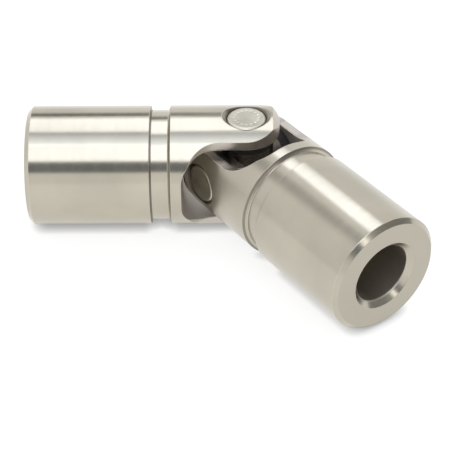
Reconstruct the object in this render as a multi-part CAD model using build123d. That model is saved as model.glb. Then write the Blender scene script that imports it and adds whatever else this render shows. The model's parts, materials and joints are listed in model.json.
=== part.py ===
from build123d import *
import os
from math import radians, tan

# A single universal joint with needle bearings: two forked hubs turned from
# bar, a cross between their ears, and a closed cup with a ring of needles and
# a seal on each of the four trunnions of the cross.
# Lengths are in millimetres and angles in degrees.

# Hubs, turned from three-quarter-inch bar, with distances from the joint centre
HUB_RADIUS = 19.05 / 2
HALF_LENGTH = 34.7
END_CHAMFER = 0.7
BORE_RADIUS = 9.525 / 2
BORE_DEPTH = 18.0
BORE_MOUTH_CHAMFER = 0.9
DRILL_POINT_ANGLE = 118.0

# Boot groove, with an upright wall towards the shaft and a sloped one
# towards the joint
GROOVE_START = 12.0
GROOVE_SLOPE = 0.4
GROOVE_END = 15.25
GROOVE_DEPTH = 0.7

# Ears of each fork: round about the pin axis, with a turned chamfer at the
# tip, and side cuts that leave a flare between the ears and the hub
EAR_RADIUS = 5.27
TIP_CHAMFER_START = 4.2
TIP_CHAMFER_DROP = 1.15
SIDE_CUTTER_RADIUS = 6.35
SIDE_CUTTER_CENTRE = 4.05

# Slot between the ears, with round corners at its floor
SLOT_HALF_WIDTH = 6.48
SLOT_FLOOR = 10.3
SLOT_CORNER_RADIUS = 4.2

# Drawn cups in the ears, a quarter inch outside
CUP_RADIUS = 6.35 / 2
CUP_END = 9.0
CUP_LENGTH = 3.7
CUP_CORNER = 0.3
CUP_END_WALL = 0.5
RACE_RADIUS = 2.675
PRESS_GAP = 0.01
COUNTERSINK_RADIUS = 3.95
COUNTERSINK_ANGLE = 100.0

# Needles in each cup, drawn with flats because nobody sees them
NEEDLE_COUNT = 13
NEEDLE_RADIUS = 0.5
NEEDLE_SIDES = 6
NEEDLE_LENGTH = 2.8
NEEDLE_GAP = 0.015

# Cross and seals
TRUNNION_RADIUS = RACE_RADIUS - 2 * NEEDLE_RADIUS - 2 * NEEDLE_GAP
TRUNNION_END = 8.45
ARM_RADIUS = 4.3
ARM_END = 4.85
SEAL_RADIUS = 4.3
SEAL_LIP_RADIUS = 1.75
SEAL_RUNNING_GAP = 0.04
SEAL_GAP = 0.05

# Pose: how far the driven hub is bent towards the viewer, about the pin axis
# that stands upright through the driving fork's ears
BEND = 54.5

# The origin is on the driving bore's axis, where its straight wall begins
JOINT_CENTRE = Location((HALF_LENGTH - BORE_MOUTH_CHAMFER, 0, 0))

LONG = 4 * HALF_LENGTH
UPRIGHT = (Align.CENTER, Align.CENTER, Align.MIN)


def turned_blank():
    """Hub with its bore, groove and chamfers, turned about X, hub towards +X."""
    bore_floor = HALF_LENGTH - BORE_DEPTH
    drill_point = BORE_RADIUS / tan(radians(DRILL_POINT_ANGLE / 2))
    groove_radius = HUB_RADIUS - GROOVE_DEPTH
    half_section = Polyline(
        (-EAR_RADIUS, 0),
        (-EAR_RADIUS, HUB_RADIUS - TIP_CHAMFER_DROP),
        (-TIP_CHAMFER_START, HUB_RADIUS),
        (GROOVE_START, HUB_RADIUS),
        (GROOVE_START + GROOVE_SLOPE, groove_radius),
        (GROOVE_END, groove_radius),
        (GROOVE_END, HUB_RADIUS),
        (HALF_LENGTH - END_CHAMFER, HUB_RADIUS),
        (HALF_LENGTH, HUB_RADIUS - END_CHAMFER),
        (HALF_LENGTH, BORE_RADIUS + BORE_MOUTH_CHAMFER),
        (HALF_LENGTH - BORE_MOUTH_CHAMFER, BORE_RADIUS),
        (bore_floor, BORE_RADIUS),
        (bore_floor - drill_point, 0),
        close=True,
    )
    return revolve(Plane.XZ * make_face(half_section), Axis.X)


def fork_plan():
    """Outline of the fork seen along its pin: round ears that flare into the hub."""
    ears = Rectangle(LONG, 2 * EAR_RADIUS, align=(Align.MIN, Align.CENTER)) + Circle(EAR_RADIUS)
    hub = Pos(SIDE_CUTTER_CENTRE, 0) * Rectangle(LONG, 4 * HUB_RADIUS, align=(Align.MIN, Align.CENTER))
    for side in (1, -1):
        cutter_centre = Pos(SIDE_CUTTER_CENTRE, side * (EAR_RADIUS + SIDE_CUTTER_RADIUS))
        sweep = Rectangle(2 * SIDE_CUTTER_RADIUS, LONG, align=(Align.CENTER, Align.MIN))
        hub -= cutter_centre * (Circle(SIDE_CUTTER_RADIUS) + Rot(0, 0, 0 if side > 0 else 180) * sweep)
    return hub + ears


def slot_profile():
    """Outline of the slot seen along the pin of the other fork, with a round-cornered floor."""
    return Pos(SLOT_FLOOR - LONG / 2, 0) * RectangleRounded(LONG, 2 * SLOT_HALF_WIDTH, SLOT_CORNER_RADIUS)


def cup_bore():
    """What the drill and the countersink take out of both ears, along Z."""
    cone_height = COUNTERSINK_RADIUS / tan(radians(COUNTERSINK_ANGLE / 2))
    cone = Pos(0, 0, HUB_RADIUS - cone_height) * Cone(
        0, 2 * COUNTERSINK_RADIUS, 2 * cone_height, align=UPRIGHT)
    return Cylinder(CUP_RADIUS + PRESS_GAP, 4 * HUB_RADIUS) + cone + Rot(180, 0, 0) * cone


def fork():
    """One forked hub about the joint centre, hub towards +X, pin axis along Z."""
    body = turned_blank() & extrude(fork_plan(), 2 * HUB_RADIUS, both=True)
    body -= extrude(Plane.XZ * slot_profile(), 2 * HUB_RADIUS, both=True)
    return body - cup_bore()


def bearing_cup():
    """Drawn cup turned about Z, closed at its outer end, with a bevelled corner there."""
    inner_end = CUP_END - CUP_LENGTH
    race_floor = CUP_END - CUP_END_WALL
    half_section = Polyline(
        (0, race_floor),
        (RACE_RADIUS, race_floor),
        (RACE_RADIUS, inner_end),
        (CUP_RADIUS, inner_end),
        (CUP_RADIUS, CUP_END - CUP_CORNER),
        (CUP_RADIUS - CUP_CORNER, CUP_END),
        (0, CUP_END),
        close=True,
    )
    return revolve(Plane.XZ * make_face(half_section), Axis.Z)


def needles(location):
    """Ring of needles that stand in a cup at the location, as separate solids."""
    pitch_radius = RACE_RADIUS - NEEDLE_GAP - NEEDLE_RADIUS
    floor = CUP_END - CUP_END_WALL - NEEDLE_GAP - NEEDLE_LENGTH
    needle = Pos(pitch_radius, 0, floor) * extrude(RegularPolygon(NEEDLE_RADIUS, NEEDLE_SIDES), NEEDLE_LENGTH)
    step = 360 / NEEDLE_COUNT
    ring = [location * Rot(0, 0, index * step) * needle for index in range(NEEDLE_COUNT)]
    return Compound([solid for piece in ring for solid in piece.solids()])


def seal():
    """Ring round the cup's open end, with a lip that reaches in to the trunnion."""
    low = ARM_END + SEAL_GAP
    high = SLOT_HALF_WIDTH - SEAL_GAP
    ring = Pos(0, 0, low) * Cylinder(SEAL_RADIUS, high - low, align=UPRIGHT)
    cup_mouth = CUP_END - CUP_LENGTH - SEAL_RUNNING_GAP
    ring -= Pos(0, 0, cup_mouth) * Cylinder(CUP_RADIUS + SEAL_RUNNING_GAP, CUP_LENGTH, align=UPRIGHT)
    return ring - Cylinder(SEAL_LIP_RADIUS, 4 * HUB_RADIUS)


def cross():
    """Two round arms that cross, along Y and Z, with a trunnion on each end."""
    upright = Cylinder(ARM_RADIUS, 2 * ARM_END) + Cylinder(TRUNNION_RADIUS, 2 * TRUNNION_END)
    return upright + Rot(90, 0, 0) * upright


bent = JOINT_CENTRE * Rot(0, 0, -BEND)
pieces = {
    "driving_fork": JOINT_CENTRE * Rot(0, 0, 180) * fork(),
    "driven_fork": bent * Rot(90, 0, 0) * fork(),
    "cross": bent * cross(),
}

# The driving fork's bearings sit above and below the cross, and the driven
# fork's on its near and far sides, as seen from -Y
bearings = {
    "upper": bent,
    "lower": bent * Rot(180, 0, 0),
    "near": bent * Rot(90, 0, 0),
    "far": bent * Rot(-90, 0, 0),
}
for place, location in bearings.items():
    pieces[f"bearing_cup_{place}"] = location * bearing_cup()
    pieces[f"needles_{place}"] = needles(location)
    pieces[f"seal_{place}"] = location * seal()

os.makedirs("parts", exist_ok=True)
for name, piece in pieces.items():
    export_step(piece, f"parts/{name}.step")
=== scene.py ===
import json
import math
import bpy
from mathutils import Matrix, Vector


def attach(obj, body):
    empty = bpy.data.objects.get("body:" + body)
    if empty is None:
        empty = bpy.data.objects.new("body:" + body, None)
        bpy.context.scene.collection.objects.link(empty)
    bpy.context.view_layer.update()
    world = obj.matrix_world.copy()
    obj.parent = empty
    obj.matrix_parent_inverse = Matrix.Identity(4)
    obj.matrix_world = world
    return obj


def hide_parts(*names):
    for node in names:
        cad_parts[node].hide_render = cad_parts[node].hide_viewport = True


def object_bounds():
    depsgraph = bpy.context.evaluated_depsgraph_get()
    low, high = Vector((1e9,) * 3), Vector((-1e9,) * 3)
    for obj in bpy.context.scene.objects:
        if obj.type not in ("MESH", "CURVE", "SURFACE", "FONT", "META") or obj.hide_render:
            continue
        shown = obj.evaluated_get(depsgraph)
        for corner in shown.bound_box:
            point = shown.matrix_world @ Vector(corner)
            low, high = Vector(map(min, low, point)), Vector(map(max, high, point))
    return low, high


bl_info = {
    "name": "Universal joint",
    "version": (1, 0, 0),
    "blender": (4, 5, 0),
    "location": "View3D > Sidebar > Joint",
    "description": "Finishes a needle-bearing universal joint and sets up its studio",
    "category": "Object",
}

import bpy
import numpy as np
from bpy.props import FloatProperty, FloatVectorProperty, IntProperty, PointerProperty
from mathutils import Matrix, Vector

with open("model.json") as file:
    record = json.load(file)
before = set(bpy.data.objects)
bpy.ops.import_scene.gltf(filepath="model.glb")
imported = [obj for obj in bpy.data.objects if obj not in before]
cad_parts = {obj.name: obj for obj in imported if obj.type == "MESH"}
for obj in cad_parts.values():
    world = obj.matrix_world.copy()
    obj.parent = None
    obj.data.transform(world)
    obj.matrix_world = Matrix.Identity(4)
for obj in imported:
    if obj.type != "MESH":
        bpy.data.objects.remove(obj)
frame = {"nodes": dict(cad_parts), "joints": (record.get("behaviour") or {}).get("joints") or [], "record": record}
cad_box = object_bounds()

MM = 0.001
HUB_RADIUS = 9.525 * MM

# The joint's own geometry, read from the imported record
PIVOT = Vector(frame["joints"][0]["pos_m"])
DRIVEN_AXIS = Vector(next(m["axis"] for m in frame["record"]["mounts"] if m["name"] == "driven_bore"))
BEND = math.atan2(-DRIVEN_AXIS.y, DRIVEN_AXIS.x)
REST_HEIGHT = cad_box[0][2]

# Each bearing cup's outward direction, and the body that carries it
CUPS = {
    "upper": (Vector((0, 0, 1)), "driving_hub"),
    "lower": (Vector((0, 0, -1)), "driving_hub"),
    "near": (Vector((-math.sin(BEND), -math.cos(BEND), 0)), "driven_hub"),
    "far": (Vector((math.sin(BEND), math.cos(BEND), 0)), "driven_hub"),
}

# Rows and segments of a cup's surface, and the angle above which its edges stay sharp
FACE_ROWS = 33
CORNER_ROWS = 8
WALL_ROWS = 3
SEGMENTS = 144
SHARP_ANGLE = math.radians(50)

# Bands over which the masks of a hub fade, in millimetres: from the hub's axis
SKIN = (9.44, 9.5)
BORE_WALL = (4.8, 5.0)
# along the pin
SLOT_SIDE = (6.5, 6.54)
EAR_OUTSIDE = (6.6, 6.8)
# from the pin axis
CUP_GAP = (3.36, 3.48)
COUNTERSINK_RIM = (3.97, 4.02)
# and along the hub from the joint centre
SLOT_FLOOR = (10.34, 10.4)
PAST_SLOT = (10.5, 12.0)
SIDE_CUT_END = (11.6, 11.9)
END_FACE = (34.6, 34.66)

# Where the masks of the boot groove, of the top of its sloped wall and of the foot of its upright wall
# start and stop along the hub, in millimetres, and the distance over which they fade
GROOVE = (11.9, 15.4)
SLOPE_TOP = (12.0, 12.18)
WALL_FOOT = (14.98, 15.26)
GROOVE_FADE = 0.04 * MM

# Brightness of handled steel and worn edges beside the open steel, of the end face's painted shade and
# how much of it the end takes, and of the painted shade in the gap round a cup beside the corner shade
HANDLED_TONE = 0.86
EDGE_TONE = 1.25
END_SHADE_TONE = 0.84
END_SHADE_SHARE = 0.8
GAP_SHADE_TONE = 1.6

# How far the painted corner shade reaches, the share of open sky at which it is full and at which it
# is gone, how strongly painted shade shows in the corners, the countersinks and the groove, and how
# much of the groove's shows at the top of its slope
SHADE_REACH = 0.6 * MM
SHADE_OPEN = (0.35, 0.95)
SHADE_SAMPLES = 12
CORNER_SHADE = 0.7
CONE_SHADE = 0.45
GROOVE_SHADE = 0.75
SLOPE_SHADE = 0.75

# What each place adds to the roughness of a hub, and the spread that its streaks give it
BORE_DULL = 0.24
SLOT_DULL = 0.34
FLANK_DULL = 0.1
PAINTED_SHADE_DULL = 0.15
STREAK_SPREAD = 0.06

# Share of the slot that isn't metallic, and the turned sheen: its stretch, and how far from the
# joint centre the point lies that it leans away from
SLOT_MATT = 0.25
SHEEN_STRETCH = 0.7
SHEEN_CENTRE = 60 * MM

# Turning marks: their pitch, how many broad streaks go with each, strength and depth of the relief
MARK_PITCH = 0.12 * MM
STREAK_RATE = 0.11
MARK_RELIEF = 0.08
MARK_DEPTH = 0.01 * MM

# Broken edges: their radius, and how fast the mask fills as the normal turns away
EDGE_RADIUS = 0.14 * MM
EDGE_GAIN = 8.0
EDGE_SAMPLES = 6

# Handling noise: its scale per metre on each material, and the specks' scale beside it
HUB_HANDLING = 90.0
STEEL_HANDLING = 220.0
RUBBER_HANDLING = 160.0
SPECK_SCALE = 22.0

# Smooth steel: relief of the grain, and how far its specks lower and raise the roughness
GRAIN_RELIEF = 0.04
GRAIN_DEPTH = 0.02 * MM
GRAIN_SMOOTHER = 0.2
GRAIN_ROUGHER = 0.3
CROSS_ROUGHNESS = 0.3
CUP_ROUGHNESS = 0.32
CUP_GRAIN = 0.5
CUP_STAIN = 0.32
NEEDLE_ROUGHNESS = 0.15
NEEDLE_COLOUR = (0.6, 0.58, 0.55)

# Rubber: brightness of its dust beside it, its roughness from and to, and its shine
DUST_TONE = 2.2
RUBBER_ROUGHNESS = (0.45, 0.65)
RUBBER_SHINE = 0.3

# Width in pixels of the picture that the camera's numbers are for, the sensor's in millimetres, and
# the nearest and farthest distance seen, in metres
PICTURE = 450
SENSOR = 36
NEAREST = 0.01
FARTHEST = 20

# Half the floor's side, how near the joint has to be to shut it in, and its glow where it is shut in
# (a painted contact shadow) and where it is open, with the share of open sky at which each is reached
FLOOR_REACH = 1.5
CONTACT_REACH = 2.0 * MM
CONTACT_SAMPLES = 16
FLOOR_GLOW = (0.27, 0.8)
FLOOR_OPEN = (0.1, 0.82)

# Soft boxes: their tint, and the direction from the joint, distance, width and height of each
LAMP_TINT = (0.96, 1.0, 1.17)
SOFT_BOXES = {
    "Soft box behind": ((-0.075, 0.50, 0.864), 0.6, (0.22, 0.384)),
    "Soft box in front": ((-0.05, -0.515, 0.857), 0.6, (0.30, 0.344)),
}

# Corners of a square about its middle
CORNERS = ((-1, -1), (1, -1), (1, 1), (-1, 1))

# Cards: direction from the joint, distance, width and height, glow at the lower and at the upper
# edge, and tint. A card hangs overhead where its direction rises above the last number.
COOL = (0.94, 1.0, 1.13)
NEUTRAL = (1, 1, 1)
CARDS = {
    "Card between the boxes": ((-0.07, -0.039, 0.999), 0.63, (0.4, 0.308), (2.1, 0.56), COOL),
    "Card in front": ((0, -0.857, 0.515), 0.7, (0.7, 0.25), (0.2, 0.2), COOL),
    "Card behind": ((-0.1325, 0.845, 0.519), 0.7, (0.2, 0.184), (0.22, 0.22), NEUTRAL),
    "Card at the left": ((-0.58, 0.35, 0.73), 0.7, (0.18, 0.3), (0.52, 0.52), NEUTRAL),
    "Card at the right": ((0.874, -0.123, 0.469), 0.7, (0.95, 0.55), (0.3, 0.3), NEUTRAL),
    "Glint at the right": ((0.363, -0.712, 0.602), 0.69, (0.12, 0.12), (2.6, 2.6), NEUTRAL),
}
OVERHEAD = 0.9


class JointFinishSettings(bpy.types.PropertyGroup):
    """Colours and surface finish of the joint's pieces."""

    steel_colour: FloatVectorProperty(
        name="Steel", description="Colour of the turned hubs", subtype="COLOR", size=3,
        min=0, max=1, default=(0.545, 0.510, 0.42))
    cup_colour: FloatVectorProperty(
        name="Cups", description="Colour of the drawn cups", subtype="COLOR", size=3,
        min=0, max=1, default=(0.66, 0.63, 0.53))
    # A dark colour for the cross
    cross_colour: FloatVectorProperty(
        name="Cross", description="Colour of the oiled cross", subtype="COLOR", size=3,
        min=0, max=1, default=(0.17, 0.145, 0.125))
    bore_colour: FloatVectorProperty(
        name="Bore", description="Colour of the drilled bore", subtype="COLOR", size=3,
        min=0, max=1, default=(0.56, 0.52, 0.45))
    # Painted shade: the dark colour mixed into hub corners, countersinks, groove edges and cup gaps
    painted_shade_colour: FloatVectorProperty(
        name="Painted shade", description="Colour of painted shade in the corners", subtype="COLOR", size=3,
        min=0, max=1, default=(0.11, 0.095, 0.082))
    slot_colour: FloatVectorProperty(
        name="Slot and side cuts", description="Colour of the milled slot and side cuts",
        subtype="COLOR", size=3, min=0, max=1, default=(0.58, 0.54, 0.49))
    rubber_colour: FloatVectorProperty(
        name="Seals", description="Colour of the rubber seals", subtype="COLOR", size=3,
        min=0, max=1, default=(0.018, 0.017, 0.016))
    steel_roughness: FloatProperty(
        name="Steel roughness", description="Roughness of the turned surface", subtype="FACTOR",
        min=0, max=1, default=0.22)
    mark_pitch: FloatProperty(
        name="Turning pitch", description="Distance between turning marks", subtype="DISTANCE",
        unit="LENGTH", min=0.02 * MM, max=1 * MM, default=MARK_PITCH, precision=5)
    edge_radius: FloatProperty(
        name="Broken edge", description="Radius to which sharp edges are broken", subtype="DISTANCE",
        unit="LENGTH", min=0, max=1 * MM, default=EDGE_RADIUS, precision=5)


class JointCupSettings(bpy.types.PropertyGroup):
    """Sizes of the drawn bearing cups."""

    radius: FloatProperty(
        name="Radius", description="Outside radius of a cup", subtype="DISTANCE", unit="LENGTH",
        default=3.175 * MM, precision=5)
    top: FloatProperty(
        name="Face height", description="Distance of a cup's face from the joint centre",
        subtype="DISTANCE", unit="LENGTH", default=9.0 * MM, precision=5)
    length: FloatProperty(
        name="Length", description="Length of a cup", subtype="DISTANCE", unit="LENGTH",
        default=3.7 * MM, precision=5)
    corner: FloatProperty(
        name="Corner", description="Radius of the closed end's rounded corner", subtype="DISTANCE",
        unit="LENGTH", default=0.45 * MM, precision=5)
    wall: FloatProperty(
        name="Wall", description="Thickness of the drawn wall", subtype="DISTANCE", unit="LENGTH",
        default=0.5 * MM, precision=5)
    dish: FloatProperty(
        name="Dish", description="Depth of the shallow dish in the closed end", subtype="DISTANCE",
        unit="LENGTH", default=0.05 * MM, precision=5)
    dimples: IntProperty(
        name="Dimples", description="Number of plain staking dimples in the ring", min=0, default=16)
    dimple_ring: FloatProperty(
        name="Dimple ring", description="Radius of the ring of dimples", subtype="DISTANCE",
        unit="LENGTH", default=1.95 * MM, precision=5)
    dimple_size: FloatProperty(
        name="Dimple size", description="Radius of one dimple", subtype="DISTANCE", unit="LENGTH",
        default=0.16 * MM, precision=5)
    dimple_depth: FloatProperty(
        name="Dimple depth", description="Depth of one dimple", subtype="DISTANCE", unit="LENGTH",
        default=0.05 * MM, precision=5)


class JointStudioSettings(bpy.types.PropertyGroup):
    """Camera, floor and lights."""

    camera_yaw: FloatProperty(
        name="Yaw", description="Turn of the camera about the vertical", subtype="ANGLE",
        unit="ROTATION", default=math.radians(-0.25))
    camera_pitch: FloatProperty(
        name="Pitch", description="How far the camera looks down", subtype="ANGLE",
        unit="ROTATION", default=math.radians(38.01))
    camera_roll: FloatProperty(
        name="Roll", description="Roll of the camera", subtype="ANGLE", unit="ROTATION",
        default=math.radians(-0.43))
    focal: FloatProperty(
        name="Focal length", description="Focal length in picture widths", default=1571 / PICTURE)
    distance: FloatProperty(
        name="Distance", description="Depth of the joint centre from the camera",
        subtype="DISTANCE", unit="LENGTH", default=26.59 * HUB_RADIUS, precision=5)
    centre_right: FloatProperty(
        name="Centre right", description="Joint centre right of the picture's middle, in picture widths",
        default=21.3 / PICTURE)
    centre_up: FloatProperty(
        name="Centre up", description="Joint centre above the picture's middle, in picture widths",
        default=60.8 / PICTURE)
    floor_colour: FloatVectorProperty(
        name="Floor", description="Colour of the floor", subtype="COLOR", size=3, min=0, max=1,
        default=(0.30, 0.30, 0.30))
    sky: FloatProperty(
        name="Room light", description="Strength of the plain light from all round", default=0.85, min=0)
    box_light: FloatProperty(
        name="Soft boxes", description="Brightness of the two soft boxes", default=1.35, min=0)


def add_object(name, data):
    """A new object of the data, linked to the scene."""
    made = bpy.data.objects.new(name, data)
    bpy.context.scene.collection.objects.link(made)
    return made


def toned(colour, tone):
    """The colour times a tone, with no part above 1."""
    return tuple(min(1.0, tone * part) for part in colour)


def new_material(name):
    """A material, its node tree and its Principled shader."""
    material = bpy.data.materials.new(name)
    material.use_nodes = True
    return material, material.node_tree, material.node_tree.nodes["Principled BSDF"]


def object_coordinates(tree):
    """The object's own coordinates, which ride with it."""
    return tree.nodes.new("ShaderNodeTexCoord").outputs["Object"]


def maths(tree, operation, name, first, second=None, third=None, clamp=False):
    """A Math node whose inputs are sockets or numbers."""
    node = tree.nodes.new("ShaderNodeMath")
    node.operation = operation
    node.name = node.label = name
    node.use_clamp = clamp
    for index, value in enumerate((first, second, third)):
        if value is None:
            continue
        if isinstance(value, (int, float)):
            node.inputs[index].default_value = value
        else:
            tree.links.new(value, node.inputs[index])
    return node.outputs[0]


def vector_maths(tree, operation, name, first, second):
    """A Vector Math node on a socket and a socket or vector."""
    node = tree.nodes.new("ShaderNodeVectorMath")
    node.operation = operation
    node.name = node.label = name
    tree.links.new(first, node.inputs[0])
    if isinstance(second, Vector):
        node.inputs[1].default_value = second
    else:
        tree.links.new(second, node.inputs[1])
    return node.outputs["Value" if operation == "DOT_PRODUCT" else "Vector"]


def noise(tree, name, dimensions, **values):
    """A Noise Texture node with its dimensions and plain socket values."""
    node = tree.nodes.new("ShaderNodeTexNoise")
    node.name = node.label = name
    node.noise_dimensions = dimensions
    for socket, value in values.items():
        node.inputs[socket].default_value = value
    return node


def ranged(tree, value, name, low, high, start=0.3, stop=0.7):
    """A value carried from start..stop to low..high. A noise mostly keeps to the default range."""
    node = tree.nodes.new("ShaderNodeMapRange")
    node.name = node.label = name
    tree.links.new(value, node.inputs["Value"])
    node.inputs["From Min"].default_value = start
    node.inputs["From Max"].default_value = stop
    node.inputs["To Min"].default_value = low
    node.inputs["To Max"].default_value = high
    return node.outputs["Result"]


def rising(tree, value, name, band):
    """A mask that goes from 0 to 1 over a band in millimetres."""
    return ranged(tree, value, name, 0.0, 1.0, *(edge * MM for edge in band))


def falling(tree, value, name, band):
    """A mask that goes from 1 to 0 over a band in millimetres."""
    return ranged(tree, value, name, 1.0, 0.0, *(edge * MM for edge in band))


def within(tree, value, name, band):
    """A mask that is 1 between two distances in millimetres and fades outside both."""
    start, stop = (edge * MM for edge in band)
    rise = ranged(tree, value, f"{name}, start", 0.0, 1.0, start - GROOVE_FADE, start)
    fall = ranged(tree, value, f"{name}, stop", 1.0, 0.0, stop, stop + GROOVE_FADE)
    return maths(tree, "MULTIPLY", name, rise, fall)


def hypotenuse(tree, name, first, second):
    """The square root of first^2 + second^2."""
    square = maths(tree, "MULTIPLY", f"{name}, one side squared", second, second)
    total = maths(tree, "MULTIPLY_ADD", f"{name} squared", first, first, square)
    return maths(tree, "SQRT", name, total)


def mixed(tree, factor, name, first, second):
    """A colour mix by a socket, whose ends are sockets or RGB colours."""
    node = tree.nodes.new("ShaderNodeMix")
    node.data_type = "RGBA"
    node.name = node.label = name
    tree.links.new(factor, node.inputs["Factor"])
    for socket, value in (("A", first), ("B", second)):
        target = next(i for i in node.inputs if i.name == socket and i.type == "RGBA")
        if isinstance(value, tuple):
            target.default_value = (*value, 1.0)
        else:
            tree.links.new(value, target)
    return next(o for o in node.outputs if o.type == "RGBA")


def relief(tree, shader, height, strength, depth, normal=None):
    """A bump of the height on the shader, over a normal where one is given."""
    bump = tree.nodes.new("ShaderNodeBump")
    bump.inputs["Strength"].default_value = strength
    bump.inputs["Distance"].default_value = depth
    tree.links.new(height, bump.inputs["Height"])
    if normal is not None:
        tree.links.new(normal, bump.inputs["Normal"])
    tree.links.new(bump.outputs["Normal"], shader.inputs["Normal"])


def seen_plainly(tree):
    """1 for rays from the camera, from a mirror or through glass, and 0 for the rest."""
    path = tree.nodes.new("ShaderNodeLightPath")
    mirrored = maths(tree, "MAXIMUM", "Seen or mirrored", path.outputs["Is Camera Ray"],
                     path.outputs["Is Glossy Ray"])
    return maths(tree, "MAXIMUM", "Or through glass", mirrored, path.outputs["Is Transmission Ray"])


def new_group(name, inputs, outputs):
    """An empty shader node group with its sockets, or the one already made."""
    group = bpy.data.node_groups.get(name)
    if group:
        return group, None, None
    group = bpy.data.node_groups.new(name, "ShaderNodeTree")
    for socket, kind, default in inputs:
        made = group.interface.new_socket(socket, in_out="INPUT", socket_type=kind)
        if default is not None:
            made.default_value = default
    for socket, kind in outputs:
        group.interface.new_socket(socket, in_out="OUTPUT", socket_type=kind)
    start = group.nodes.new("NodeGroupInput")
    end = group.nodes.new("NodeGroupOutput")
    start.location = (-900, 0)
    end.location = (700, 0)
    return group, start, end


def placed(tree, group, name, **values):
    """A node group placed in a tree, with its plain socket values."""
    node = tree.nodes.new("ShaderNodeGroup")
    node.node_tree = group
    node.name = node.label = name
    for socket, value in values.items():
        node.inputs[socket].default_value = value
    return node


def turning_marks_group():
    """Fine rings round the X axis of the given coordinates, a one-way noise along X."""
    group, start, end = new_group(
        "Turning marks",
        [("Vector", "NodeSocketVector", None), ("Pitch", "NodeSocketFloat", MARK_PITCH)],
        [("Height", "NodeSocketFloat"), ("Streaks", "NodeSocketFloat")])
    if start is None:
        return group
    split = group.nodes.new("ShaderNodeSeparateXYZ")
    group.links.new(start.outputs["Vector"], split.inputs[0])
    along = maths(group, "DIVIDE", "Marks along the hub", split.outputs["X"], start.outputs["Pitch"])
    fine = noise(group, "Tool marks", "1D", Scale=1.0, Detail=2.0)
    group.links.new(along, fine.inputs["W"])
    broad_place = maths(group, "MULTIPLY", "Broad marks along the hub", along, STREAK_RATE)
    broad = noise(group, "Broad streaks", "1D", Scale=1.0, Detail=3.0)
    group.links.new(broad_place, broad.inputs["W"])
    group.links.new(fine.outputs["Fac"], end.inputs["Height"])
    group.links.new(broad.outputs["Fac"], end.inputs["Streaks"])
    return group


def broken_edges_group():
    """A normal rounded at the edges, and a mask that is 1 where it departs from the flat normal."""
    group, start, end = new_group(
        "Broken edges",
        [("Radius", "NodeSocketFloat", EDGE_RADIUS)],
        [("Normal", "NodeSocketVector"), ("Mask", "NodeSocketFloat")])
    if start is None:
        return group
    bevel = group.nodes.new("ShaderNodeBevel")
    bevel.samples = EDGE_SAMPLES
    group.links.new(start.outputs["Radius"], bevel.inputs["Radius"])
    flat = group.nodes.new("ShaderNodeNewGeometry").outputs["Normal"]
    agreement = vector_maths(group, "DOT_PRODUCT", "Agreement", bevel.outputs["Normal"], flat)
    away = maths(group, "SUBTRACT", "Away from flat", 1.0, agreement)
    mask = maths(group, "MULTIPLY", "Edge mask", away, EDGE_GAIN, clamp=True)
    group.links.new(bevel.outputs["Normal"], end.inputs["Normal"])
    group.links.new(mask, end.inputs["Mask"])
    return group


def corner_shade_group():
    """A mask of painted shade that is 1 deep in corners and 0 on open faces."""
    group, start, end = new_group(
        "Corner grime",
        [("Reach", "NodeSocketFloat", SHADE_REACH)],
        [("Mask", "NodeSocketFloat")])
    if start is None:
        return group
    open_sky = group.nodes.new("ShaderNodeAmbientOcclusion")
    open_sky.samples = SHADE_SAMPLES
    group.links.new(start.outputs["Reach"], open_sky.inputs["Distance"])
    closed_in = ranged(group, open_sky.outputs["AO"], "Closed in", 1.0, 0.0, *SHADE_OPEN)
    group.links.new(closed_in, end.inputs["Mask"])
    return group


def handling_group():
    """Soft blotches left by handling and oil, and fine specks, both a three-way noise."""
    group, start, end = new_group(
        "Handling",
        [("Vector", "NodeSocketVector", None), ("Scale", "NodeSocketFloat", HUB_HANDLING)],
        [("Blotches", "NodeSocketFloat"), ("Specks", "NodeSocketFloat")])
    if start is None:
        return group
    soft = noise(group, "Blotches", "3D", Detail=3.0)
    group.links.new(start.outputs["Vector"], soft.inputs["Vector"])
    group.links.new(start.outputs["Scale"], soft.inputs["Scale"])
    tight = maths(group, "MULTIPLY", "Speck scale", start.outputs["Scale"], SPECK_SCALE)
    specks = noise(group, "Specks", "3D", Detail=1.0)
    group.links.new(start.outputs["Vector"], specks.inputs["Vector"])
    group.links.new(tight, specks.inputs["Scale"])
    group.links.new(soft.outputs["Fac"], end.inputs["Blotches"])
    group.links.new(specks.outputs["Fac"], end.inputs["Specks"])
    return group


def handled(tree, place, scale, name, clean, stained):
    """A colour stained in blotches, and the specks that go with it."""
    handling = placed(tree, handling_group(), "Handling", Scale=scale)
    tree.links.new(place, handling.inputs["Vector"])
    amount = ranged(tree, handling.outputs["Blotches"], "Blotch amount", 0.0, 1.0)
    return mixed(tree, amount, name, clean, stained), handling.outputs["Specks"]


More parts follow.
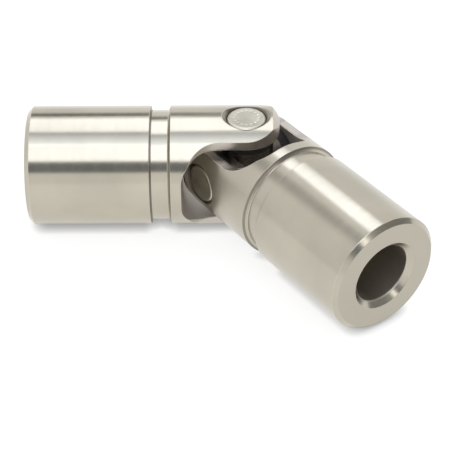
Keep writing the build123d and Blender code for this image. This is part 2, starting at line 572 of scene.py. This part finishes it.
def hub_masks(tree, place, upright):
    """Masks of the places on a hub that look unlike its turned outside.

    The coordinates run from the joint centre with the hub's axis on X. The pin axis is Z in the
    driving hub and Y in the driven one. Every mask is a product of ranges of four distances: along
    the hub, |X|; from its axis, sqrt(Y^2 + Z^2); along the pin; and from the pin axis.
    """
    split = tree.nodes.new("ShaderNodeSeparateXYZ")
    tree.links.new(place, split.inputs[0])
    x, y, z = (split.outputs[axis] for axis in "XYZ")
    pin, side = (z, y) if upright else (y, z)
    length = maths(tree, "ABSOLUTE", "Distance along the hub", x)
    height = maths(tree, "ABSOLUTE", "Distance along the pin", pin)
    radius = hypotenuse(tree, "Distance from the hub axis", y, z)
    from_pin = hypotenuse(tree, "Distance from the pin axis", side, x)
    below_skin = falling(tree, radius, "Below the skin", SKIN)
    outside = rising(tree, height, "Outside of the ear", EAR_OUTSIDE)

    bore = maths(tree, "MULTIPLY", "Bore", falling(tree, radius, "In the bore", BORE_WALL),
                 rising(tree, length, "Past the slot", PAST_SLOT))
    between_ears = maths(tree, "MULTIPLY", "Between the ears", below_skin,
                         falling(tree, height, "Slot height", SLOT_SIDE))
    slot = maths(tree, "MULTIPLY", "Slot", between_ears,
                 falling(tree, length, "Short of the slot floor", SLOT_FLOOR))
    flank_reach = maths(tree, "MULTIPLY", "Side cut reach",
                        rising(tree, from_pin, "Outside the countersink", COUNTERSINK_RIM),
                        falling(tree, length, "Short of the groove", SIDE_CUT_END))
    sunk_outside = maths(tree, "MULTIPLY", "Outside, below the skin", below_skin, outside)
    flank = maths(tree, "MULTIPLY", "Side cut", flank_reach, sunk_outside)
    # The countersink round each cup gets painted shade
    cone = maths(tree, "MULTIPLY", "Countersink", sunk_outside,
                 falling(tree, from_pin, "Countersink radius", COUNTERSINK_RIM))
    # The gap round each cup gets painted shade
    gap = maths(tree, "MULTIPLY", "Gap round the cup", outside,
                falling(tree, from_pin, "Gap radius", CUP_GAP))
    groove = within(tree, length, "Groove", GROOVE)
    # Groove corners that get painted shade: the foot of the upright wall and, fainter, the top of the slope
    foot = maths(tree, "MULTIPLY", "Foot of the upright wall", below_skin,
                 within(tree, length, "Wall foot", WALL_FOOT))
    slope_top = maths(tree, "MULTIPLY", "Top of the sloped wall, faint",
                      within(tree, length, "Top of the sloped wall", SLOPE_TOP), SLOPE_SHADE)
    corners = maths(tree, "MAXIMUM", "Groove corners", foot, slope_top)
    end_face = rising(tree, length, "End face", END_FACE)
    return {"bore": bore, "slot": slot, "flank": flank, "cone": cone, "gap": gap, "groove": groove,
            "corners": corners, "end_face": end_face}


def hub_painted_shade(tree, masks):
    """How much painted shade each place of a hub gets: its corners, its countersinks and the edges of its groove.
    """
    # Painted shade in corners: strongest where the open-sky test finds little sky
    painted_shade = placed(tree, corner_shade_group(), "Corner grime", Reach=SHADE_REACH)
    own_shade_places = maths(tree, "MAXIMUM", "Groove or countersink", masks["groove"], masks["cone"])
    open_hub = maths(tree, "SUBTRACT", "Outside groove and countersink", 1.0, own_shade_places)
    corner = maths(tree, "MULTIPLY", "Corner grime amount", painted_shade.outputs["Mask"],
                   maths(tree, "MULTIPLY", "Corner grime strength", open_hub, CORNER_SHADE))
    # Painted shade of a fixed strength in the countersinks and along the groove's corners
    fixed = maths(tree, "MAXIMUM", "Countersink or groove",
                  maths(tree, "MULTIPLY", "Countersink grime", masks["cone"], CONE_SHADE),
                  maths(tree, "MULTIPLY", "Groove grime", masks["corners"], GROOVE_SHADE))
    return maths(tree, "MAXIMUM", "Painted shade", corner, fixed)


def hub_material(name, turn, upright, settings):
    """Turned steel whose marks run round a hub, duller in its slot and bore, with painted shade in corners.

    The coordinates are taken from the joint centre, and a Mapping node turns the hub's axis onto X.
    The sheen is stretched along position + SHEEN_CENTRE * axis, which leans along the hub on its
    round outside and away from its axis on its end face.
    """
    material, tree, shader = new_material(name)
    place = vector_maths(tree, "SUBTRACT", "From the joint centre", object_coordinates(tree), PIVOT)
    hub = tree.nodes.new("ShaderNodeMapping")
    hub.inputs["Rotation"].default_value = (0, 0, turn)
    tree.links.new(place, hub.inputs["Vector"])
    on_hub = hub.outputs[0]
    marks = placed(tree, turning_marks_group(), "Turning marks", Pitch=settings.mark_pitch)
    tree.links.new(on_hub, marks.inputs["Vector"])
    edges = placed(tree, broken_edges_group(), "Broken edges", Radius=settings.edge_radius)
    masks = hub_masks(tree, on_hub, upright)
    painted_shade_amount = hub_painted_shade(tree, masks)

    steel = tuple(settings.steel_colour)
    painted_shade = tuple(settings.painted_shade_colour)
    colour, _ = handled(tree, on_hub, HUB_HANDLING, "Handled steel", steel, toned(steel, HANDLED_TONE))
    colour = mixed(tree, edges.outputs["Mask"], "Bright edges", colour, toned(steel, EDGE_TONE))
    # Painted shade: the end face is made darker
    end_shade = maths(tree, "MULTIPLY", "End face tone", masks["end_face"], END_SHADE_SHARE)
    colour = mixed(tree, end_shade, "Shaded end face", colour, toned(steel, END_SHADE_TONE))
    colour = mixed(tree, masks["bore"], "Bore colour", colour, tuple(settings.bore_colour))
    milled = maths(tree, "MAXIMUM", "Milled", masks["slot"], masks["flank"])
    colour = mixed(tree, milled, "Milled colour", colour, tuple(settings.slot_colour))
    # Painted shade: darker colour in corners, countersinks and along the groove's edges
    colour = mixed(tree, painted_shade_amount, "Grime colour", colour, painted_shade)
    # Painted shade in the gap round each cup, a lighter tone of the corner shade colour
    colour = mixed(tree, masks["gap"], "Dark gap", colour, toned(painted_shade, GAP_SHADE_TONE))
    tree.links.new(colour, shader.inputs["Base Color"])

    dull = ranged(tree, marks.outputs["Streaks"], "Streaked roughness",
                  settings.steel_roughness * (1 - STREAK_SPREAD),
                  settings.steel_roughness * (1 + STREAK_SPREAD))
    for label, mask, extra in (("Duller in the slot", masks["slot"], SLOT_DULL),
                               ("Duller in the bore", masks["bore"], BORE_DULL),
                               ("Duller on the side cuts", masks["flank"], FLANK_DULL),
                               ("Duller where dirty", painted_shade_amount, PAINTED_SHADE_DULL)):
        dull = maths(tree, "MULTIPLY_ADD", label, mask, extra, dull)
    tree.links.new(dull, shader.inputs["Roughness"])
    metal = maths(tree, "MULTIPLY_ADD", "Partly matt in the slot", masks["slot"], -SLOT_MATT, 1.0)
    tree.links.new(metal, shader.inputs["Metallic"])

    cut = maths(tree, "MAXIMUM", "Slot or bore", masks["slot"], masks["bore"])
    cut = maths(tree, "MAXIMUM", "Or side cut", cut, masks["flank"])
    cut = maths(tree, "MAXIMUM", "Or dirty", cut, painted_shade_amount)
    turned = maths(tree, "SUBTRACT", "Turned", 1.0, cut)
    stretch = maths(tree, "MULTIPLY", "Stretch of the sheen", turned, SHEEN_STRETCH)
    tree.links.new(stretch, shader.inputs["Anisotropic"])
    axis = Vector((math.cos(turn), -math.sin(turn), 0))
    lean = vector_maths(tree, "ADD", "Lean of the sheen", place, SHEEN_CENTRE * axis)
    along_hub = tree.nodes.new("ShaderNodeVectorTransform")
    along_hub.vector_type = "VECTOR"
    along_hub.convert_from = "OBJECT"
    along_hub.convert_to = "WORLD"
    tree.links.new(lean, along_hub.inputs[0])
    tree.links.new(along_hub.outputs[0], shader.inputs["Tangent"])
    relief(tree, shader, marks.outputs["Height"], MARK_RELIEF, MARK_DEPTH, edges.outputs["Normal"])
    return material


def plain_steel_material(name, colour, roughness, grain=1.0, stain=0.2):
    """Smooth steel with handling blotches and a fine grain."""
    material, tree, shader = new_material(name)
    shader.inputs["Metallic"].default_value = 1.0
    stained, specks = handled(tree, object_coordinates(tree), STEEL_HANDLING, "Handled steel", colour,
                              toned(colour, 1 - stain))
    tree.links.new(stained, shader.inputs["Base Color"])
    speckled = ranged(tree, specks, "Speckled roughness", roughness * (1 - GRAIN_SMOOTHER * grain),
                      roughness * (1 + GRAIN_ROUGHER * grain))
    tree.links.new(speckled, shader.inputs["Roughness"])
    relief(tree, shader, specks, GRAIN_RELIEF * grain, GRAIN_DEPTH)
    return material


def rubber_material(name, colour):
    """Matte black rubber with a fine grain."""
    material, tree, shader = new_material(name)
    shader.inputs["Metallic"].default_value = 0.0
    shader.inputs["Specular IOR Level"].default_value = RUBBER_SHINE
    dusty, specks = handled(tree, object_coordinates(tree), RUBBER_HANDLING, "Dusty rubber", colour,
                            toned(colour, DUST_TONE))
    tree.links.new(dusty, shader.inputs["Base Color"])
    grained = ranged(tree, specks, "Grained roughness", *RUBBER_ROUGHNESS)
    tree.links.new(grained, shader.inputs["Roughness"])
    return material


def cup_surface(settings, outward):
    """Closed drawn cup as one surface of revolution, ready to be placed along outward.

    The profile runs from the middle of the face over a quarter-circle corner, down the wall, in
    across the mouth, up the race and back to the middle. A point at angle a on it is
    (r cos a, r sin a, z). The face sinks by dish * (1 - (r / R)^2), and each dimple by
    depth * exp(-(distance / size)^2) from its centre on the ring.
    """
    top = settings.top
    mouth = top - settings.length
    inner = settings.radius - settings.wall
    face_edge = settings.radius - settings.corner
    face = np.linspace(0, face_edge, FACE_ROWS + 1)[1:]
    corner = np.linspace(math.pi / 2, 0, CORNER_ROWS + 1)[1:]
    wall = np.linspace(top - settings.corner, mouth, WALL_ROWS + 1)[1:]
    r = np.concatenate([face, face_edge + settings.corner * np.cos(corner),
                        np.full(WALL_ROWS, settings.radius), [inner, inner]])
    z = np.concatenate([np.full(FACE_ROWS, top), top - settings.corner + settings.corner * np.sin(corner),
                        wall, [mouth, top - settings.wall]])
    angle = np.arange(SEGMENTS) * (2 * math.pi / SEGMENTS)
    ring_r, ring_a = np.meshgrid(r, angle, indexing="ij")
    x = ring_r * np.cos(ring_a)
    y = ring_r * np.sin(ring_a)
    sink = settings.dish * (1 - (ring_r / face_edge) ** 2)
    for turn in np.arange(settings.dimples) * (2 * math.pi / max(settings.dimples, 1)):
        gap = np.hypot(x - settings.dimple_ring * math.cos(turn), y - settings.dimple_ring * math.sin(turn))
        sink = sink + settings.dimple_depth * np.exp(-(gap / settings.dimple_size) ** 2)
    on_face = np.arange(len(r)) < FACE_ROWS
    ring_z = z[:, None] - np.where(on_face[:, None], sink, 0.0)
    points = np.stack([x, y, ring_z], axis=-1).reshape(-1, 3)
    poles = np.array([[0, 0, top - settings.dish], [0, 0, top - settings.wall]])
    points = np.concatenate([points, poles])

    rows = len(r)
    here = np.arange(SEGMENTS)
    after = (here + 1) % SEGMENTS
    row = np.arange(rows - 1)[:, None] * SEGMENTS
    quads = np.stack([row + here, row + SEGMENTS + here, row + SEGMENTS + after, row + after], axis=-1)
    face_pole = rows * SEGMENTS
    first = np.stack([np.full(SEGMENTS, face_pole), here, after], axis=-1)
    last = (rows - 1) * SEGMENTS
    closing = np.stack([np.full(SEGMENTS, face_pole + 1), last + after, last + here], axis=-1)

    side = outward.orthogonal().normalized()
    turned = Matrix((side, outward.cross(side), outward)).transposed()
    points = points @ np.array(turned).T + np.array(PIVOT)
    faces = quads.reshape(-1, 4).tolist() + first.tolist() + closing.tolist()
    return points, faces


def add_room(scene, settings):
    """A plain white room, whose light on the joint is weaker than it looks."""
    world = bpy.data.worlds.new("Studio room")
    scene.world = world
    world.use_nodes = True
    tree = world.node_tree
    tree.nodes.clear()
    strength = ranged(tree, seen_plainly(tree), "Room strength", settings.sky, 1.0, 0.0, 1.0)
    room = tree.nodes.new("ShaderNodeBackground")
    room.inputs["Color"].default_value = (1, 1, 1, 1)
    tree.links.new(strength, room.inputs["Strength"])
    out = tree.nodes.new("ShaderNodeOutputWorld")
    tree.links.new(room.outputs[0], out.inputs["Surface"])


def add_floor(settings):
    """A matte near-white floor with the joint's shade and a painted contact shadow where the joint shuts it in."""
    mesh = bpy.data.meshes.new("floor")
    corners = [(x * FLOOR_REACH, y * FLOOR_REACH, REST_HEIGHT) for x, y in CORNERS]
    mesh.from_pydata(corners, [], [(0, 1, 2, 3)])
    floor = add_object("floor", mesh)
    material = bpy.data.materials.new("Pale floor")
    material.use_nodes = True
    tree = material.node_tree
    tree.nodes.clear()
    matte = tree.nodes.new("ShaderNodeBsdfDiffuse")
    matte.inputs["Color"].default_value = (*settings.floor_colour, 1)
    glow = tree.nodes.new("ShaderNodeEmission")
    contact = tree.nodes.new("ShaderNodeAmbientOcclusion")
    contact.samples = CONTACT_SAMPLES
    contact.inputs["Distance"].default_value = CONTACT_REACH
    # Painted contact shadow: the glow that camera and mirrors see fades where the joint shuts the floor in
    lift = ranged(tree, contact.outputs["AO"], "Lift away from contact", *FLOOR_GLOW, *FLOOR_OPEN)
    white = maths(tree, "MULTIPLY", "Lift to white", seen_plainly(tree), lift)
    tree.links.new(white, glow.inputs["Strength"])
    add = tree.nodes.new("ShaderNodeAddShader")
    out = tree.nodes.new("ShaderNodeOutputMaterial")
    tree.links.new(matte.outputs[0], add.inputs[0])
    tree.links.new(glow.outputs[0], add.inputs[1])
    tree.links.new(add.outputs[0], out.inputs["Surface"])
    mesh.materials.append(material)


def add_soft_box(name, direction, distance, size, brightness):
    """A soft box that faces the joint, with its power worked out from its brightness."""
    width, height = size
    data = bpy.data.lights.new(name, "AREA")
    data.shape = "RECTANGLE"
    data.size = width
    data.size_y = height
    data.energy = brightness * math.pi * width * height
    data.color = LAMP_TINT
    lamp = add_object(name, data)
    towards = Vector(direction).normalized()
    lamp.location = PIVOT + towards * distance
    lamp.rotation_euler = towards.to_track_quat("Z", "Y").to_euler()


def add_card(name, direction, distance, size, levels, tint):
    """A card that shows only in reflections, facing the joint.

    Its width is level, or along X where it hangs overhead. Its glow goes evenly from the first level
    at its lower edge to the second at its upper edge, times the tint.
    """
    width, height = size
    towards = Vector(direction).normalized()
    right = Vector((1, 0, 0)) if towards.z > OVERHEAD else Vector((0, 0, 1)).cross(towards)
    right = (right - towards * right.dot(towards)).normalized()
    up = towards.cross(right)
    centre = PIVOT + towards * distance
    corners = [centre + right * (a * width / 2) + up * (b * height / 2) for a, b in CORNERS]
    mesh = bpy.data.meshes.new(name)
    mesh.from_pydata([tuple(c) for c in corners], [], [(0, 1, 2, 3)])
    card = add_object(name, mesh)
    card.visible_camera = False
    card.visible_diffuse = False
    card.visible_shadow = False
    material = bpy.data.materials.new(name)
    material.use_nodes = True
    tree = material.node_tree
    tree.nodes.clear()
    along = vector_maths(tree, "DOT_PRODUCT", "Height on the card", object_coordinates(tree), up)
    glow = tree.nodes.new("ShaderNodeEmission")
    glow.inputs["Color"].default_value = (*tint, 1)
    middle = centre.dot(up)
    level = ranged(tree, along, "Glow up the card", *levels, middle - height / 2, middle + height / 2)
    tree.links.new(level, glow.inputs["Strength"])
    out = tree.nodes.new("ShaderNodeOutputMaterial")
    tree.links.new(glow.outputs[0], out.inputs["Surface"])
    mesh.materials.append(material)


def add_camera(scene, settings):
    """The camera, set by where the joint centre lies in its picture and how deep."""
    yaw, pitch, roll = settings.camera_yaw, settings.camera_pitch, settings.camera_roll
    level = math.cos(pitch)
    forward = Vector((math.sin(yaw) * level, math.cos(yaw) * level, -math.sin(pitch)))
    right = Vector((math.cos(yaw), -math.sin(yaw), 0))
    up = right.cross(forward)
    rolled_right = math.cos(roll) * right + math.sin(roll) * up
    rolled_up = -math.sin(roll) * right + math.cos(roll) * up
    data = bpy.data.cameras.new("Camera")
    data.sensor_width = SENSOR
    data.lens = SENSOR * settings.focal
    data.clip_start = NEAREST
    data.clip_end = FARTHEST
    camera = add_object("Camera", data)
    depth = settings.distance
    position = (PIVOT - forward * depth
                - rolled_right * (settings.centre_right / settings.focal * depth)
                - rolled_up * (settings.centre_up / settings.focal * depth))
    facing = Matrix((rolled_right, rolled_up, -forward)).transposed().to_4x4()
    camera.matrix_world = Matrix.Translation(position) @ facing
    scene.camera = camera


def assign(node, material):
    """The material in every slot of a CAD node."""
    mesh = frame["nodes"][node].data
    if not mesh.materials:
        mesh.materials.append(material)
    for index in range(len(mesh.materials)):
        mesh.materials[index] = material


class OBJECT_OT_joint_hubs(bpy.types.Operator):
    """Give both forked hubs their turned steel"""

    bl_idname = "object.joint_hubs"
    bl_label = "Finish hubs"

    def execute(self, context):
        settings = context.scene.joint_finish
        assign("driving_fork", hub_material("Driving hub steel", 0.0, True, settings))
        assign("driven_fork", hub_material("Driven hub steel", BEND, False, settings))
        return {"FINISHED"}


class OBJECT_OT_joint_cross(bpy.types.Operator):
    """Give the cross, needles and seals their finish"""

    bl_idname = "object.joint_cross"
    bl_label = "Finish cross and seals"

    def execute(self, context):
        settings = context.scene.joint_finish
        dark = plain_steel_material("Dark cross steel", tuple(settings.cross_colour), CROSS_ROUGHNESS)
        bright = plain_steel_material("Needle steel", NEEDLE_COLOUR, NEEDLE_ROUGHNESS)
        rubber = rubber_material("Seal rubber", tuple(settings.rubber_colour))
        assign("cross", dark)
        for place in CUPS:
            assign(f"needles_{place}", bright)
            assign(f"seal_{place}", rubber)
        return {"FINISHED"}


class OBJECT_OT_joint_cups(bpy.types.Operator):
    """Make the four drawn cups with rounded corners and plain dimples"""

    bl_idname = "object.joint_cups"
    bl_label = "Make bearing cups"

    def execute(self, context):
        finish = context.scene.joint_finish
        sizes = context.scene.joint_cups
        steel = plain_steel_material("Drawn cup steel", tuple(finish.cup_colour), CUP_ROUGHNESS,
                                     grain=CUP_GRAIN, stain=CUP_STAIN)
        for place, (outward, body) in CUPS.items():
            points, faces = cup_surface(sizes, outward)
            mesh = bpy.data.meshes.new(f"cup_{place}")
            mesh.from_pydata(points.tolist(), [], faces)
            mesh.polygons.foreach_set("use_smooth", [True] * len(mesh.polygons))
            mesh.set_sharp_from_angle(angle=SHARP_ANGLE)
            mesh.materials.append(steel)
            mesh.validate()
            cup = add_object(f"cup_{place}", mesh)
            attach(cup, body)
            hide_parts(f"bearing_cup_{place}")
        return {"FINISHED"}


class OBJECT_OT_joint_studio(bpy.types.Operator):
    """Set up the floor, room, soft boxes, cards and camera"""

    bl_idname = "object.joint_studio"
    bl_label = "Set up studio"

    def execute(self, context):
        settings = context.scene.joint_studio
        scene = context.scene
        scene.view_settings.view_transform = "Standard"
        add_room(scene, settings)
        add_floor(settings)
        for name, (direction, distance, size) in SOFT_BOXES.items():
            add_soft_box(name, direction, distance, size, settings.box_light)
        for name, values in CARDS.items():
            add_card(name, *values)
        add_camera(scene, settings)
        return {"FINISHED"}


OPERATORS = (
    OBJECT_OT_joint_hubs,
    OBJECT_OT_joint_cross,
    OBJECT_OT_joint_cups,
    OBJECT_OT_joint_studio,
)
GROUPS = {
    "joint_finish": JointFinishSettings,
    "joint_cups": JointCupSettings,
    "joint_studio": JointStudioSettings,
}


class VIEW3D_PT_joint(bpy.types.Panel):
    """Lists the joint's operators and settings"""

    bl_label = "Universal joint"
    bl_space_type = "VIEW_3D"
    bl_region_type = "UI"
    bl_category = "Joint"

    def draw(self, context):
        layout = self.layout
        for operator in OPERATORS:
            layout.operator(operator.bl_idname)
        for name, group in GROUPS.items():
            box = layout.box()
            for prop in group.__annotations__:
                box.prop(getattr(context.scene, name), prop)


def register():
    for cls in (*GROUPS.values(), *OPERATORS, VIEW3D_PT_joint):
        bpy.utils.register_class(cls)
    for name, cls in GROUPS.items():
        setattr(bpy.types.Scene, name, PointerProperty(type=cls))


def unregister():
    for name in GROUPS:
        delattr(bpy.types.Scene, name)
    for cls in (VIEW3D_PT_joint, *reversed(OPERATORS), *reversed(list(GROUPS.values()))):
        bpy.utils.unregister_class(cls)


def main():
    register()
    bpy.ops.object.joint_hubs()
    bpy.ops.object.joint_cross()
    bpy.ops.object.joint_cups()
    bpy.ops.object.joint_studio()


if __name__ == "__main__":
    main()
